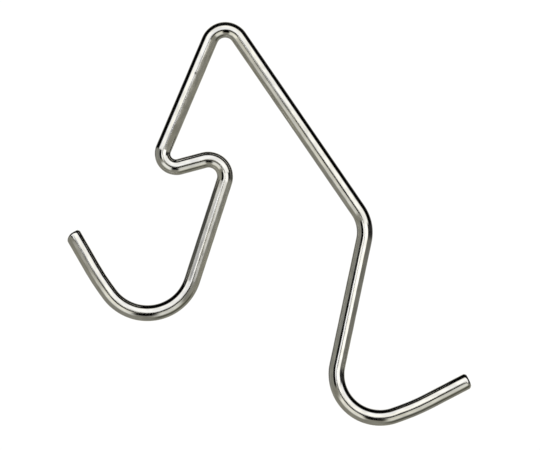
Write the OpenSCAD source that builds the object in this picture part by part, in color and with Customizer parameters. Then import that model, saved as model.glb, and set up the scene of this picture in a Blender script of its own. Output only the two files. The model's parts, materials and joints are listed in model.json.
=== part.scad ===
// Double wire hook: one length of round wire, bent in a single plane. The crest and
// its two legs make a clip that drops over a round rail, a nib under the left leg
// keeps the rail in, and each end of the wire rises again as an open hook.
// The hook lies in the XZ plane with +Z up. The origin is the underside of the crest.

/* [Wire] */
// Diameter of the round wire
wire_d = 5; // [3:0.5:7]
// Diameter that the wire loses where it is drawn round a bend
draw_down = 0.04; // [0.02:0.01:0.1]
// Broken edge round each cut end
end_edge = 0.6; // [0.2:0.1:1]

/* [Rail clip] */
// Diameter of the rail, which bears on both legs and on the nib
rail_d = 24.5; // [20:0.5:32]
// Inside radius of the bend at the crest
crest_r = 2.5; // [1.5:0.5:8]
// Angle of the left leg below level
left_leg_angle = 67; // [60:0.5:72]
// Angle of the right leg below level
right_leg_angle = 55.5; // [48:0.5:62]
// Straight length of the right leg
right_leg = 62.5; // [50:0.5:90]

/* [Nib] */
// Inside radius of the heel, where the left leg turns in under the rail
heel_r = 1.5; // [1:0.5:4]
// Angle that the heel turns through
heel_angle = 128; // [120:0.5:135]
// Straight length from the heel to the nose
nib = 7.5; // [5:0.5:12]
// Inside radius of the nose, where the nib turns down to the left hook
nose_r = 2.5; // [1.5:0.5:4]
// Angle that the nose turns through
nose_angle = 123; // [115:0.5:130]

/* [Left hook] */
// Straight length from the nose down to the hook
left_shank = 31; // [25:0.5:60]
// Inside radius of the hook
left_hook_r = 11.5; // [8:0.5:18]
// Angle that the hook turns through
left_hook_angle = 126; // [110:0.5:135]
// Inside radius of the slight bow beyond the hook
left_bow_r = 62.5; // [40:2.5:120]
// Angle that the bow turns through
left_bow_angle = 6; // [3:0.5:10]
// Straight length of the free end
left_end = 12.5; // [8:0.5:25]

/* [Right hook] */
// Inside radius of the kink, where the right leg turns down
kink_r = 9; // [4:0.5:15]
// Angle that the kink turns through
kink_angle = 46.5; // [35:0.5:55]
// Straight length from the kink down to the hook
right_shank = 38; // [25:0.5:70]
// Inside radius of the hook
right_hook_r = 10.5; // [8:0.5:18]
// Angle that the hook turns through
right_hook_angle = 121.5; // [105:0.5:130]
// Inside radius of the slight bow beyond the hook
right_bow_r = 62.5; // [40:2.5:120]
// Angle that the bow turns through
right_bow_angle = 8; // [4:0.5:12]
// Straight length of the free end
right_end = 13.5; // [8:0.5:25]

/* [Hidden] */
$fn = 64;
wire_r = wire_d / 2;
// How far each straight runs on into the bends beside it
lap = 0.1;
// Straight between a hook and its bow
rest = 2;

// The left leg is as long as the rail needs. Distances along it, from the point where
// the two legs' centre lines would meet: to the rail, and to the end of the leg when
// the nose lies against the rail. Across it, the rail and the nose lie to its inside.
half_angle = (180 - left_leg_angle - right_leg_angle) / 2;
rail_off = rail_d / 2 + wire_r;
rail_along = rail_off / tan(half_angle);
nose_along = (heel_r + nose_r + wire_d) * sin(heel_angle) + nib * cos(heel_angle);
nose_off = heel_r + wire_r - (heel_r + nose_r + wire_d) * cos(heel_angle) + nib * sin(heel_angle);
nose_reach = sqrt(pow(rail_off + nose_r + wire_r, 2) - pow(nose_off - rail_off, 2));
leg_from_apex = rail_along + nose_reach - nose_along;
left_leg = leg_from_apex - (crest_r + wire_r) / tan(half_angle);

// Each module draws its stretch of wire from the origin along +X, and puts its
// children where that stretch ends, so a chain of them reads in the order of bending.

module straight(length) {
  translate([-lap, 0, 0])
    rotate([0, 90, 0])
      cylinder(r = wire_r, h = length + 2 * lap);
  translate([length, 0, 0])
    children();
}

// A positive turn is anticlockwise as seen from the front
module bend(inside_r, turn) {
  r = inside_r + wire_r;
  side = sign(turn);
  first = side > 0 ? -90 : 90 + turn;
  translate([0, 0, side * r]) {
    rotate([90, 0, 0])
      rotate_extrude(angle = abs(turn), start = first)
        translate([r, 0])
          circle(d = wire_d - draw_down);
    rotate([0, -turn, 0])
      translate([0, 0, -side * r])
        children();
  }
}

// The free end, cut square with its edge broken
module cut_end(length) {
  side = length - end_edge;
  face_r = wire_r - end_edge;
  rotate([0, 90, 0])
    rotate_extrude()
      polygon([[0, -lap], [wire_r, -lap], [wire_r, side], [face_r, length], [0, length]]);
}

module left_side() {
  bend(crest_r, left_leg_angle)
    straight(left_leg)
      bend(heel_r, heel_angle)
        straight(nib)
          bend(nose_r, -nose_angle)
            straight(left_shank)
              bend(left_hook_r, -left_hook_angle)
                straight(rest)
                  bend(left_bow_r, -left_bow_angle)
                    cut_end(left_end);
}

module right_side() {
  bend(crest_r, -right_leg_angle)
    straight(right_leg)
      bend(kink_r, -kink_angle)
        straight(right_shank)
          bend(right_hook_r, right_hook_angle)
            straight(rest)
              bend(right_bow_r, right_bow_angle)
                cut_end(right_end);
}

// The right side starts along +X from the crest, and the left side along -X
module hook() {
  color("silver")
    translate([0, 0, wire_r]) {
      right_side();
      rotate([0, 180, 0])
        left_side();
    }
}

hook();
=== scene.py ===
import json
import math

import bpy
import numpy as np
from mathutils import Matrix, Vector


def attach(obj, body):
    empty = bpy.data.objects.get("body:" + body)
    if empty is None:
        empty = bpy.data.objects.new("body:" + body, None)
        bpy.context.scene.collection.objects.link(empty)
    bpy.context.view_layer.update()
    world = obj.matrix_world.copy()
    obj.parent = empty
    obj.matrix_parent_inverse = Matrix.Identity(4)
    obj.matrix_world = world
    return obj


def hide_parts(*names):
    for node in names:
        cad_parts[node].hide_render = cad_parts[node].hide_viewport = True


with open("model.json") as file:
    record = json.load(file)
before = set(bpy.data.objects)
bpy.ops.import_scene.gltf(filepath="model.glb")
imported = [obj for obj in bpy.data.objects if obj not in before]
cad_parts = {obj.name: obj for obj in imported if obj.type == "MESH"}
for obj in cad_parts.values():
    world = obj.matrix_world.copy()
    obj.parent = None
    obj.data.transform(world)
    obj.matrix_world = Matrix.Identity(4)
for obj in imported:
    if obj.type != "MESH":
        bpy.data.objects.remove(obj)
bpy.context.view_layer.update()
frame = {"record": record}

mm = 0.001


def clearSelection():
    for item in bpy.context.selected_objects:
        item.select_set(False)


def activate(item):
    clearSelection()
    item.select_set(True)
    bpy.context.view_layer.objects.active = item


# the camera stands level, square to the plane of the wire
camera = {
    "lens": 500.0,
    "sensor": 36.0,
    "clipStart": 0.01,
    "place": (13.33 * mm, -2232.0 * mm, -55.57 * mm),
}

clearSelection()
bpy.ops.object.camera_add(location=camera["place"], rotation=(math.radians(90), 0, 0))
studioCamera = bpy.context.object
studioCamera.name = "studioCamera"
studioCamera.data.lens = camera["lens"]
studioCamera.data.sensor_width = camera["sensor"]
studioCamera.data.clip_start = camera["clipStart"]
bpy.context.scene.camera = studioCamera
print("stage: camera set")


# the clip holds a round rail between its two legs and the nib
clip = {
    "wire": 5.0,
    "rail": 24.5,
    "legAngle": 57.5,        # between the two legs
    "crest": 2.5,            # inside radii
    "heel": 1.5,
    "nose": 2.5,
    "heelTurn": 128.0,
    "nib": 7.5,
}


def legLength(spec):
    # the left leg is as long as it takes for the nose to lie against the rail
    half, turn = math.radians(spec["legAngle"] / 2), math.radians(spec["heelTurn"])
    diameter = spec["wire"]
    railOff = (spec["rail"] + diameter) / 2
    bends = spec["heel"] + spec["nose"] + diameter
    noseAlong = bends * math.sin(turn) + spec["nib"] * math.cos(turn)
    noseOff = spec["heel"] + diameter / 2 - bends * math.cos(turn) + spec["nib"] * math.sin(turn)
    noseReach = math.sqrt((railOff + spec["nose"] + diameter / 2) ** 2 - (noseOff - railOff) ** 2)
    fromApex = railOff / math.tan(half) + noseReach - noseAlong
    return fromApex - (spec["crest"] + diameter / 2) / math.tan(half)


leftLeg = legLength(clip)

# the wire is bent stretch by stretch, from the left tip to the right tip
wire = {
    "diameter": clip["wire"],
    "sides": 64,
    "stepLength": 2.5,       # spacing of the rings on the straights
    "stepDegrees": 3.0,      # and round the bends
    "startDegrees": -60.0,   # heading at the left tip
    # lengths and inside radii in millimetres, turns in degrees, anticlockwise positive
    "route": [
        ("straight", 12.5),
        ("bend", 62.5, 6.0),
        ("straight", 2.0),
        ("bend", 11.5, 126.0),       # left hook
        ("straight", 31.0),
        ("bend", clip["nose"], 123.0),
        ("straight", clip["nib"]),
        ("bend", clip["heel"], -clip["heelTurn"]),
        ("straight", leftLeg),
        ("bend", clip["crest"], clip["legAngle"] - 180),
        ("straight", 62.5),
        ("bend", 9.0, -46.5),        # kink
        ("straight", 38.0),
        ("bend", 10.5, 121.5),       # right hook
        ("straight", 2.0),
        ("bend", 62.5, 8.0),
        ("straight", 13.5),
    ],
    "squeeze": 0.022,        # how far the tightest bend is pressed out of round
    "spread": 0.008,         # and how far it widens the other way
    "pinFlat": 0.05,         # depth of the flat that the bending pin leaves, in millimetres
    "tightRadius": 4.0,      # a bend of this centre radius or less is squeezed in full
}


def heading(degrees):
    turn = math.radians(degrees)
    return Vector((math.cos(turn), 0, math.sin(turn)))


def easeOut(share):
    # 0 at either end of a bend and 1 over its middle half
    edge = min(1, 4 * min(share, 1 - share))
    return edge * edge * (3 - 2 * edge)


def bendWire(spec, tip):
    # each ring of the tube is noted: centre, heading, length so far, and the bend it is in
    rings = [{"centre": Vector(tip), "degrees": spec["startDegrees"], "along": 0.0, "tight": 0.0, "side": 1}]
    clearSelection()
    bpy.ops.mesh.primitive_circle_add(
        vertices=spec["sides"], radius=spec["diameter"] / 2 * mm, fill_type="NOTHING",
        location=tip, rotation=heading(spec["startDegrees"]).to_track_quat("Z", "Y").to_euler())
    piece = bpy.context.object
    bpy.ops.object.transform_apply(location=True, rotation=True, scale=True)
    bpy.ops.object.mode_set(mode="EDIT")
    bpy.ops.mesh.select_mode(type="VERT")
    bpy.ops.mesh.select_all(action="SELECT")
    for kind, *sizes in spec["route"]:
        start = rings[-1]
        centre, degrees, along = start["centre"], start["degrees"], start["along"]
        if kind == "straight":
            length = sizes[0] * mm
            steps = max(1, round(sizes[0] / spec["stepLength"]))
            for count in range(1, steps + 1):
                bpy.ops.mesh.extrude_region_move(
                    TRANSFORM_OT_translate={"value": heading(degrees) * length / steps})
                gone = length * count / steps
                rings.append({"centre": centre + heading(degrees) * gone, "degrees": degrees,
                              "along": along + gone, "tight": 0.0, "side": 1})
        else:
            radius = (sizes[0] + spec["diameter"] / 2) * mm
            turn = sizes[1]
            side = math.copysign(1, turn)
            pivot = centre + heading(degrees + 90 * side) * radius
            steps = max(2, round(abs(turn) / spec["stepDegrees"]))
            bpy.ops.mesh.spin(steps=steps, angle=math.radians(abs(turn)), center=pivot, axis=(0, side, 0))
            for count in range(1, steps + 1):
                now = degrees + turn * count / steps
                tight = min(1, spec["tightRadius"] * mm / radius) * easeOut(count / steps)
                rings.append({"centre": pivot - heading(now + 90 * side) * radius, "degrees": now,
                              "along": along + radius * math.radians(abs(turn)) * count / steps,
                              "tight": tight, "side": side})
    bpy.ops.object.mode_set(mode="OBJECT")
    return piece, rings


def pressBends(piece, spec, rings):
    # a bend is squeezed between its pin and its former: flatter in the plane, wider across it
    half = spec["diameter"] / 2 * mm
    for index, vertex in enumerate(piece.data.vertices):
        ring = rings[index // spec["sides"]]
        if ring["tight"] == 0:
            continue
        inward = heading(ring["degrees"] + 90 * ring["side"])
        offset = vertex.co - ring["centre"]
        across = offset.dot(inward)
        pressed = across * (1 - spec["squeeze"] * ring["tight"])
        flat = half * (1 - spec["squeeze"] * ring["tight"]) - spec["pinFlat"] * mm * ring["tight"]
        pressed = min(pressed, flat)
        wide = offset.y * (1 + spec["spread"] * ring["tight"])
        vertex.co = ring["centre"] + inward * pressed + Vector((0, wide, 0))


def tipOf(mount):
    # the mount grips the free end up to the edge broken off its tip
    reach = mount["dims"]["length_mm"] / 2 + tips["grip"]
    return Vector(mount["pos_m"]) + Vector(mount["axis"]) * reach * mm


# each tip is cropped square, then its edge is rolled over and its face left a little crowned
tips = {
    "grip": 0.6,             # from the end of the mount to the tip
    "round": 0.95,
    "roundSteps": 7,
    "crown": 0.16,
    "crownSteps": 3,
    "dragFade": 5.0,         # how far back from the rolled edge the drag fades out
    "dragCurve": 1.5,
    "dragReach": 3.5,        # points farther off than this many radii stay
    "mergeGap": 0.002,
    # the side that the blade came in from, and how far it drew that side down
    "left": {"side": (-0.866, 0, -0.5), "drag": 0.9},
    "right": {"side": (0.46, 0, -0.887), "drag": 0.3},
}

mounts = {mount["name"]: mount for mount in frame["record"]["mounts"]}
leftTip, rightTip = tipOf(mounts["left_end"]), tipOf(mounts["right_end"])
hookWire, rings = bendWire(wire, leftTip)
hookWire.name = hookWire.data.name = "hookWire"
pressBends(hookWire, wire, rings)
miss = (rings[-1]["centre"] - rightTip).length / mm
print(f"stage: wire bent, left leg {leftLeg:.4f}, {len(rings)} rings, {rings[-1]['along'] / mm:.1f} mm long, "
      f"right tip {miss:.3f} mm from its mount")


def closeTip(piece, ring, out, cut):
    centre = ring["centre"]
    half = wire["diameter"] / 2 * mm
    activate(piece)
    bpy.ops.object.mode_set(mode="EDIT")
    bpy.ops.mesh.select_mode(type="VERT")
    bpy.ops.mesh.select_all(action="DESELECT")
    bpy.ops.object.mode_set(mode="OBJECT")
    for vertex in piece.data.vertices:
        offset = vertex.co - centre
        vertex.select = offset.length < half * 1.05 and abs(offset.dot(out)) < 0.1 * mm
    bpy.ops.object.mode_set(mode="EDIT")
    bpy.ops.mesh.edge_face_add()
    bpy.ops.mesh.bevel(offset=tips["round"] * mm, offset_type="OFFSET",
                       segments=tips["roundSteps"], profile=0.5, affect="EDGES")
    bpy.ops.mesh.select_mode(type="FACE")
    bpy.ops.mesh.select_all(action="DESELECT")
    bpy.ops.object.mode_set(mode="OBJECT")
    for face in piece.data.polygons:
        face.select = len(face.vertices) > 4 and (face.center - centre).length < half
    bpy.ops.object.mode_set(mode="EDIT")
    flat = half - tips["round"] * mm
    for count in range(tips["crownSteps"]):
        bpy.ops.mesh.inset(thickness=flat / (tips["crownSteps"] + 1),
                           depth=tips["crown"] * mm / 2 ** (count + 1))
    bpy.ops.mesh.poke()
    bpy.ops.object.mode_set(mode="OBJECT")
    # the blade came in from one side and drew that edge down
    for vertex in piece.data.vertices:
        offset = vertex.co - centre
        share = (offset.dot(out) / mm + tips["round"]) / tips["dragFade"] + 1
        if share > 0 and offset.length < half * tips["dragReach"]:
            lean = max(0, offset.dot(Vector(cut["side"])) / half)
            vertex.co -= out * cut["drag"] * mm * lean ** tips["dragCurve"] * min(1, share)


closeTip(hookWire, rings[0], -heading(rings[0]["degrees"]), tips["left"])
closeTip(hookWire, rings[-1], heading(rings[-1]["degrees"]), tips["right"])

activate(hookWire)
bpy.ops.object.mode_set(mode="EDIT")
bpy.ops.mesh.select_all(action="SELECT")
bpy.ops.mesh.remove_doubles(threshold=tips["mergeGap"] * mm)
bpy.ops.mesh.normals_make_consistent(inside=False)
bpy.ops.mesh.select_all(action="DESELECT")
bpy.ops.object.mode_set(mode="OBJECT")
bpy.ops.object.shade_smooth()
print(f"stage: tips closed, {len(hookWire.data.polygons)} faces")


# where each point lay on the straight wire before it was bent: along it, and across it both ways.
# strain is how far the bend stretched it there, or pressed it together where that is negative
def noteWirePlace(piece, rings):
    centres = np.array([ring["centre"] for ring in rings])
    headings = np.array([heading(ring["degrees"]) for ring in rings])
    normals = np.array([heading(ring["degrees"] + 90) for ring in rings])
    alongs = np.array([ring["along"] for ring in rings])
    tight = np.array([ring["tight"] * ring["side"] for ring in rings])
    coords = np.empty(len(piece.data.vertices) * 3)
    piece.data.vertices.foreach_get("co", coords)
    coords = coords.reshape(-1, 3)
    nearest = np.concatenate([
        np.linalg.norm(part[:, None] - centres[None], axis=2).argmin(axis=1)
        for part in np.array_split(coords, 16)])
    offsets = coords - centres[nearest]
    across = (offsets * normals[nearest]).sum(axis=1)
    along = alongs[nearest] + (offsets * headings[nearest]).sum(axis=1)
    place = np.stack([along, across, offsets[:, 1]], axis=1)
    layer = piece.data.attributes.new("wirePlace", "FLOAT_VECTOR", "POINT")
    layer.data.foreach_set("vector", place.astype(np.float32).ravel())
    strain = -across * tight[nearest] / (wire["diameter"] / 2 * mm)
    layer = piece.data.attributes.new("bendStrain", "FLOAT", "POINT")
    layer.data.foreach_set("value", strain.astype(np.float32))
    return place


wirePlace = noteWirePlace(hookWire, rings)

# the map for baking: the straight wire cut into equal lengths, side by side, with the tips beside them
flatMap = {
    "strips": 5,
    "stripLength": 64.0,
    "stripPitch": 17.2,      # the wire is 15.7 round, so this leaves a gap
    "margin": 1.5,
    "tipColumn": 75.0,
    "tipRow": 5.0,
    "tipPitch": 8.0,
    "size": 87.5,
}


def unwrapWire(piece, place, tipFaces):
    mesh = piece.data
    layer = mesh.uv_layers.new(name="OFBake")
    place = place / mm
    angles = np.arctan2(place[:, 1], -place[:, 2])  # nothing at the front, half a turn at the back
    for face in mesh.polygons:
        spots = list(face.vertices)
        if face.index in tipFaces:
            row = 1 if place[spots, 0].mean() > wire["diameter"] else 0
            up = flatMap["tipRow"] + flatMap["tipPitch"] * row
            flat = [(flatMap["tipColumn"] + place[spot, 1], up + place[spot, 2]) for spot in spots]
        else:
            strip = min(flatMap["strips"] - 1, max(0, int(place[spots, 0].mean() / flatMap["stripLength"])))
            middle = math.atan2(np.sin(angles[spots]).mean(), np.cos(angles[spots]).mean())
            flat = []
            for spot in spots:
                turned = middle + math.remainder(angles[spot] - middle, math.tau)
                flat.append((2 * flatMap["margin"] + place[spot, 0] - strip * flatMap["stripLength"],
                             (strip + 0.5) * flatMap["stripPitch"] + turned * wire["diameter"] / 2))
        for loop, (across, up) in zip(face.loop_indices, flat):
            layer.data[loop].uv = (across / flatMap["size"], up / flatMap["size"])
    layer.active_render = True


def findTipFaces(piece, rings):
    # the cut faces, without the rolled edge round them
    found = set()
    half = wire["diameter"] / 2 * mm
    for ring, way in ((rings[0], -1), (rings[-1], 1)):
        out = heading(ring["degrees"]) * way
        found.update(face.index for face in piece.data.polygons
                     if (face.center - ring["centre"]).length < half * 1.2 and face.normal.dot(out) > 0.8)
    return found


tipFaces = findTipFaces(hookWire, rings)
unwrapWire(hookWire, wirePlace, tipFaces)
print(f"stage: wire mapped, {len(tipFaces)} cut faces")

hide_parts("hook")
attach(hookWire, "root")


def linkInputs(tree, node, sockets):
    for name, value in sockets.items():
        if isinstance(value, bpy.types.NodeSocket):
            tree.links.new(value, node.inputs[name])
        else:
            node.inputs[name].default_value = value


def addNode(tree, kind, inputs=None, **settings):
    # a node with its settings, and its inputs either linked or set
    node = tree.nodes.new(kind)
    for name, value in settings.items():
        setattr(node, name, value)
    linkInputs(tree, node, inputs or {})
    return node


def calc(tree, operation, *values):
    return addNode(tree, "ShaderNodeMath", dict(enumerate(values)), operation=operation).outputs[0]


def ramp(tree, value, low, high, bottom=0.0, top=1.0):
    sockets = {"Value": value, "From Min": low, "From Max": high, "To Min": bottom, "To Max": top}
    return addNode(tree, "ShaderNodeMapRange", sockets, interpolation_type="SMOOTHSTEP").outputs["Result"]


def blend(tree, mask, first, second, kind="MIX"):
    node = addNode(tree, "ShaderNodeMix", {0: mask, 6: first, 7: second},
                   data_type="RGBA", blend_type=kind)
    return node.outputs[2]


# the finish of drawn and plated wire. lengths are in millimetres
nickel = {
    "warm": (0.835, 0.812, 0.722),
    "cool": (0.785, 0.783, 0.770),
    "shade": 0.79,           # how far the clouds darken it
    "lineLength": 24.0,
    "lineWidth": 0.45,
    "cloudSize": 3.2,
    "smooth": 0.05,
    "dull": 0.12,
    "lineDepth": 0.007,
    "peelSize": 0.22,        # the plate is faintly roughened where a bend stretched it
    "peelDepth": 0.0016,
    "peelDull": 0.06,
    "peelFrom": 0.15,        # strain at which the roughening starts, and where it is full
    "peelTo": 0.9,
    "markTone": (0.08, 0.075, 0.06),
    "markDull": 0.3,
    # small marks left by handling: place on the straight wire, size, and how dark
    "marks": [
        {"place": (134.6, 0.05, -2.5), "size": (0.55, 0.35, 1.0), "dark": 0.75},
        {"place": (157.3, 1.62, -1.9), "size": (0.50, 0.35, 0.8), "dark": 0.4},
        {"place": (60.5, -0.60, -2.4), "size": (0.80, 0.25, 0.8), "dark": 0.5},
        {"place": (203.0, 0.90, 2.3), "size": (1.60, 0.20, 0.8), "dark": 0.45},
        {"place": (251.4, -1.20, 2.1), "size": (0.60, 0.35, 0.8), "dark": 0.55},
    ],
}

cutFace = {
    "light": (0.70, 0.685, 0.635),
    "shade": (0.47, 0.46, 0.425),
    "lineLength": 2.5,
    "lineWidth": 0.16,
    "cloudSize": 1.2,
    "smooth": 0.13,
    "dull": 0.30,
    "lineDepth": 0.008,
    "tornDull": 0.16,        # past the band that the blade polished, the steel tore
    "tornFrom": -0.9,
    "tornTo": -0.4,
}


def makeFinishGroup():
    group = bpy.data.node_groups.new("drawnFinish", "ShaderNodeTree")
    group.interface.new_socket(name="Place", in_out="INPUT", socket_type="NodeSocketVector")
    for name in ("Line Length", "Line Width", "Cloud Size", "Smooth", "Dull"):
        group.interface.new_socket(name=name, in_out="INPUT", socket_type="NodeSocketFloat")
    for name in ("Lines", "Clouds", "Roughness", "Height"):
        group.interface.new_socket(name=name, in_out="OUTPUT", socket_type="NodeSocketFloat")
    given = group.nodes.new("NodeGroupInput").outputs

    def stretched(length, width, detail):
        size = addNode(group, "ShaderNodeCombineXYZ", {"X": length, "Y": width, "Z": width}).outputs[0]
        spot = addNode(group, "ShaderNodeVectorMath", {0: given["Place"], 1: size}, operation="DIVIDE")
        noise = {"Vector": spot.outputs[0], "Scale": 1.0, "Detail": detail}
        return addNode(group, "ShaderNodeTexNoise", noise).outputs["Fac"]

    lineLength = calc(group, "MULTIPLY", given["Line Length"], mm)
    lineWidth = calc(group, "MULTIPLY", given["Line Width"], mm)
    cloudSize = calc(group, "MULTIPLY", given["Cloud Size"], mm)
    coarse = stretched(lineLength, lineWidth, 2.0)
    fine = stretched(calc(group, "MULTIPLY", lineLength, 0.4), calc(group, "MULTIPLY", lineWidth, 0.35), 1.0)
    lines = calc(group, "ADD", calc(group, "MULTIPLY", coarse, 0.65), calc(group, "MULTIPLY", fine, 0.35))
    clouds = stretched(cloudSize, calc(group, "MULTIPLY", cloudSize, 0.35), 2.0)
    uneven = calc(group, "ADD", calc(group, "MULTIPLY", lines, 0.6), calc(group, "MULTIPLY", clouds, 0.4))
    dulled = ramp(group, uneven, 0.35, 0.65, given["Smooth"], given["Dull"])
    addNode(group, "NodeGroupOutput", {
        "Lines": ramp(group, lines, 0.38, 0.62), "Clouds": ramp(group, clouds, 0.32, 0.68),
        "Roughness": dulled, "Height": lines})
    return group


def placeFinish(tree, group, place, values):
    sockets = {"Place": place}
    for socket, name in (("Line Length", "lineLength"), ("Line Width", "lineWidth"),
                         ("Cloud Size", "cloudSize"), ("Smooth", "smooth"), ("Dull", "dull")):
        sockets[socket] = values[name]
    node = addNode(tree, "ShaderNodeGroup", node_tree=group)
    linkInputs(tree, node, sockets)
    return node.outputs


def newMaterial(name):
    material = bpy.data.materials.new(name)
    material.use_nodes = True
    tree = material.node_tree
    shader = tree.nodes["Principled BSDF"]
    shader.inputs["Metallic"].default_value = 1
    place = addNode(tree, "ShaderNodeAttribute", attribute_name="wirePlace").outputs["Vector"]
    return material, tree, shader, place


def markMask(tree, place, mark):
    # an oval spot: full within 0.6 of its size, gone at its rim
    spot, size = ([length * mm for length in mark[name]] for name in ("place", "size"))
    away = addNode(tree, "ShaderNodeVectorMath", {0: place, 1: spot}, operation="SUBTRACT").outputs[0]
    scaled = addNode(tree, "ShaderNodeVectorMath", {0: away, 1: size}, operation="DIVIDE").outputs[0]
    length = addNode(tree, "ShaderNodeVectorMath", {0: scaled}, operation="LENGTH").outputs["Value"]
    return ramp(tree, length, 1.0, 0.6, 0.0, mark["dark"])


def makeNickel(group):
    material, tree, shader, place = newMaterial("brightNickel")
    finish = placeFinish(tree, group, place, nickel)
    strain = addNode(tree, "ShaderNodeAttribute", attribute_name="bendStrain").outputs["Fac"]
    stretch = ramp(tree, strain, nickel["peelFrom"], nickel["peelTo"])
    peel = addNode(tree, "ShaderNodeTexNoise", {
        "Vector": place, "Scale": 1 / (nickel["peelSize"] * mm), "Detail": 1.0})
    colour = blend(tree, finish["Lines"], (*nickel["warm"], 1), (*nickel["cool"], 1))
    clouded = blend(tree, finish["Clouds"], (*[nickel["shade"]] * 3, 1), (1, 1, 1, 1))
    colour = blend(tree, 1.0, colour, clouded, "MULTIPLY")
    marked = 0.0
    for mark in nickel["marks"]:
        marked = calc(tree, "MAXIMUM", marked, markMask(tree, place, mark))
    colour = blend(tree, marked, colour, (*nickel["markTone"], 1))
    tree.links.new(colour, shader.inputs["Base Color"])
    dull = calc(tree, "ADD", finish["Roughness"], calc(tree, "MULTIPLY", stretch, nickel["peelDull"]))
    dull = calc(tree, "ADD", dull, calc(tree, "MULTIPLY", marked, nickel["markDull"]))
    tree.links.new(dull, shader.inputs["Roughness"])
    drawn = addNode(tree, "ShaderNodeBump", {
        "Height": finish["Height"], "Distance": nickel["lineDepth"] * mm})
    peeled = addNode(tree, "ShaderNodeBump", {
        "Height": calc(tree, "MULTIPLY", peel.outputs["Fac"], stretch), "Distance": nickel["peelDepth"] * mm,
        "Normal": drawn.outputs["Normal"]})
    tree.links.new(peeled.outputs["Normal"], shader.inputs["Normal"])
    return material


def makeCutFace(group):
    material, tree, shader, place = newMaterial("croppedEnd")
    parts = addNode(tree, "ShaderNodeSeparateXYZ", {"Vector": place}).outputs
    turned = addNode(tree, "ShaderNodeCombineXYZ", {
        "X": parts["Y"], "Y": parts["Z"], "Z": parts["X"]}).outputs[0]
    finish = placeFinish(tree, group, turned, cutFace)
    torn = ramp(tree, parts["Y"], cutFace["tornFrom"] * mm, cutFace["tornTo"] * mm)
    worn = calc(tree, "MULTIPLY", torn, calc(tree, "SUBTRACT", 1.0, finish["Lines"]))
    colour = blend(tree, worn, (*cutFace["light"], 1), (*cutFace["shade"], 1))
    tree.links.new(colour, shader.inputs["Base Color"])
    dull = calc(tree, "ADD", finish["Roughness"], calc(tree, "MULTIPLY", torn, cutFace["tornDull"]))
    tree.links.new(dull, shader.inputs["Roughness"])
    bump = addNode(tree, "ShaderNodeBump", {
        "Height": finish["Height"], "Distance": cutFace["lineDepth"] * mm})
    tree.links.new(bump.outputs["Normal"], shader.inputs["Normal"])
    return material


finishGroup = makeFinishGroup()
hookWire.data.materials.clear()
hookWire.data.materials.append(makeNickel(finishGroup))
hookWire.data.materials.append(makeCutFace(finishGroup))
for index in tipFaces:
    hookWire.data.polygons[index].material_index = 1
print("stage: finish made")


# the floor and the lights
studio = {
    "floorHeight": -160.0,
    "floorSize": 8.0,
    "floorTone": 0.93,
    "floorGlow": 0.15,
    "backWhite": 1.05,       # what the camera sees behind the hook
    "skyLevel": 0.7,
    "sunLevel": 1.0,
    "sunAngle": 30.0,
    "sunTurn": (38.0, 0.0, -25.0),
}

# what the metal mirrors, each thing hung over the one before it, in degrees.
# around runs anticlockwise from the camera's right, and out from the camera (0) to straight
# behind the hook (180). soft is the blur of the side edges, and of the near and far edges
surroundings = {
    "darkRoom":    {"around": (0, 360), "out": (0, 180), "soft": (5, 5), "tone": (0.03, 0.03, 0.03)},
    "whiteBack":   {"around": (-10, 370), "out": (138, 200), "soft": (5, 30), "tone": (1.1, 1.1, 1.1)},
    "paleTable":   {"around": (190, 350), "out": (-20, 135), "soft": (15, 30), "tone": (0.28, 0.275, 0.24)},
    "tableShade":  {"around": (278, 330), "out": (70, 98), "soft": (15, 15), "tone": (0.10, 0.10, 0.08)},
    "overhead":    {"around": (12, 163), "out": (6, 63), "soft": (6, 14), "tone": (1.25, 1.25, 1.25)},
    "blackCloth":  {"around": (10, 163), "out": (68, 118), "soft": (6, 14), "tone": (0.0, 0.0, 0.0)},
    "leftPanel":   {"around": (163, 198), "out": (46, 115), "soft": (6, 20), "tone": (0.30, 0.30, 0.27)},
    "leftGap":     {"around": (163, 198), "out": (20, 46), "soft": (6, 6), "tone": (0.0, 0.0, 0.0)},
    "leftNear":    {"around": (163, 198), "out": (-20, 17), "soft": (6, 8), "tone": (1.5, 1.5, 1.5)},
    "rightPanel":  {"around": (-18, 12), "out": (-20, 44), "soft": (6, 12), "tone": (1.5, 1.5, 1.5)},
    "windowLeft":  {"around": (212, 252), "out": (18, 58), "soft": (12, 20), "tone": (1.0, 1.0, 0.95)},
    "windowRight": {"around": (279, 312), "out": (17, 60), "soft": (12, 20), "tone": (0.85, 0.85, 0.80)},
    "tableEdge":   {"around": (205, 342), "out": (-20, 13), "soft": (6, 6), "tone": (0.0, 0.0, 0.0)},
    "cameraStand": {"around": (252, 279), "out": (-20, 40), "soft": (8, 12), "tone": (0.0, 0.0, 0.0)},
}


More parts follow.
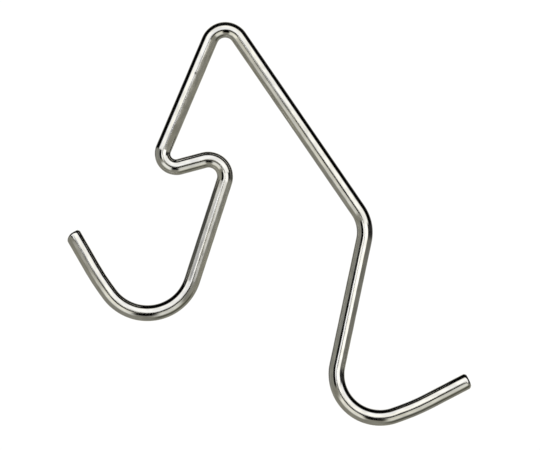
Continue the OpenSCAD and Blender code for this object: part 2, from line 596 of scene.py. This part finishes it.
def makeSurroundingGroup():
    # how much of one thing lies in a given direction
    group = bpy.data.node_groups.new("studioThing", "ShaderNodeTree")
    names = ("Around", "Out", "Middle", "Half Width", "Near", "Far", "Side Soft", "End Soft")
    for name in names:
        group.interface.new_socket(name=name, in_out="INPUT", socket_type="NodeSocketFloat")
    group.interface.new_socket(name="Mask", in_out="OUTPUT", socket_type="NodeSocketFloat")
    given = group.nodes.new("NodeGroupInput").outputs
    turned = calc(group, "WRAP", calc(group, "SUBTRACT", given["Around"], given["Middle"]), 180.0, -180.0)
    insides = (
        ("Side Soft", calc(group, "SUBTRACT", given["Half Width"], calc(group, "ABSOLUTE", turned))),
        ("End Soft", calc(group, "SUBTRACT", given["Out"], given["Near"])),
        ("End Soft", calc(group, "SUBTRACT", given["Far"], given["Out"])),
    )
    mask = 1.0
    for soft, inside in insides:
        half = calc(group, "MULTIPLY", given[soft], 0.5)
        edge = ramp(group, inside, calc(group, "MULTIPLY", half, -1.0), half)
        mask = calc(group, "MULTIPLY", mask, edge)
    addNode(group, "NodeGroupOutput", {"Mask": mask})
    return group


def makeWorld():
    world = bpy.data.worlds.new("studioWorld")
    bpy.context.scene.world = world
    world.use_nodes = True
    tree = world.node_tree
    tree.nodes.clear()
    direction = tree.nodes.new("ShaderNodeTexCoord").outputs["Generated"]
    way = addNode(tree, "ShaderNodeSeparateXYZ", {"Vector": direction}).outputs
    around = calc(tree, "DEGREES", calc(tree, "ARCTAN2", way["Z"], way["X"]))
    out = calc(tree, "DEGREES", calc(tree, "ARCCOSINE", calc(tree, "MULTIPLY", way["Y"], -1.0)))
    group = makeSurroundingGroup()
    colour = (0, 0, 0, 1)
    for thing in surroundings.values():
        first, last = thing["around"]
        sizes = (around, out, (first + last) / 2, (last - first) / 2, *thing["out"], *thing["soft"])
        node = addNode(tree, "ShaderNodeGroup", node_tree=group)
        linkInputs(tree, node, dict(enumerate(sizes)))
        colour = blend(tree, node.outputs["Mask"], colour, (*thing["tone"], 1))
    ray = tree.nodes.new("ShaderNodeLightPath").outputs

    def glow(tone, strength=1.0):
        return addNode(tree, "ShaderNodeBackground", {"Color": tone, "Strength": strength}).outputs[0]

    def choose(share, first, second):
        return addNode(tree, "ShaderNodeMixShader", {0: share, 1: first, 2: second}).outputs[0]

    glossy = calc(tree, "MAXIMUM", ray["Is Glossy Ray"], ray["Is Transmission Ray"])
    bounced = choose(glossy, glow((1, 1, 1, 1), studio["skyLevel"]), glow(colour))
    seen = choose(ray["Is Camera Ray"], bounced, glow((1, 1, 1, 1), studio["backWhite"]))
    addNode(tree, "ShaderNodeOutputWorld", {"Surface": seen})


def makeFloor():
    clearSelection()
    bpy.ops.mesh.primitive_plane_add(size=studio["floorSize"],
                                     location=(0, 0, studio["floorHeight"] * mm))
    floor = bpy.context.object
    floor.name = "paleFloor"
    bpy.ops.object.transform_apply(location=True, rotation=True, scale=True)
    floor.visible_glossy = False
    paper = bpy.data.materials.new("palePaper")
    paper.use_nodes = True
    tree = paper.node_tree
    shader = tree.nodes["Principled BSDF"]
    shader.inputs["Base Color"].default_value = (*[studio["floorTone"]] * 3, 1)
    shader.inputs["Roughness"].default_value = 0.9
    shader.inputs["Specular IOR Level"].default_value = 0.0
    shader.inputs["Emission Color"].default_value = (1, 1, 1, 1)
    cameraRay = tree.nodes.new("ShaderNodeLightPath").outputs["Is Camera Ray"]
    tree.links.new(calc(tree, "MULTIPLY", cameraRay, studio["floorGlow"]), shader.inputs["Emission Strength"])
    floor.data.materials.append(paper)


def makeSun():
    clearSelection()
    bpy.ops.object.light_add(type="SUN", rotation=[math.radians(turn) for turn in studio["sunTurn"]])
    sun = bpy.context.object
    sun.name = "softSun"
    sun.data.energy = studio["sunLevel"]
    sun.data.angle = math.radians(studio["sunAngle"])
    sun.visible_glossy = False


makeWorld()
makeFloor()
makeSun()
bpy.context.scene.view_settings.view_transform = "Standard"
print("stage: studio lit")
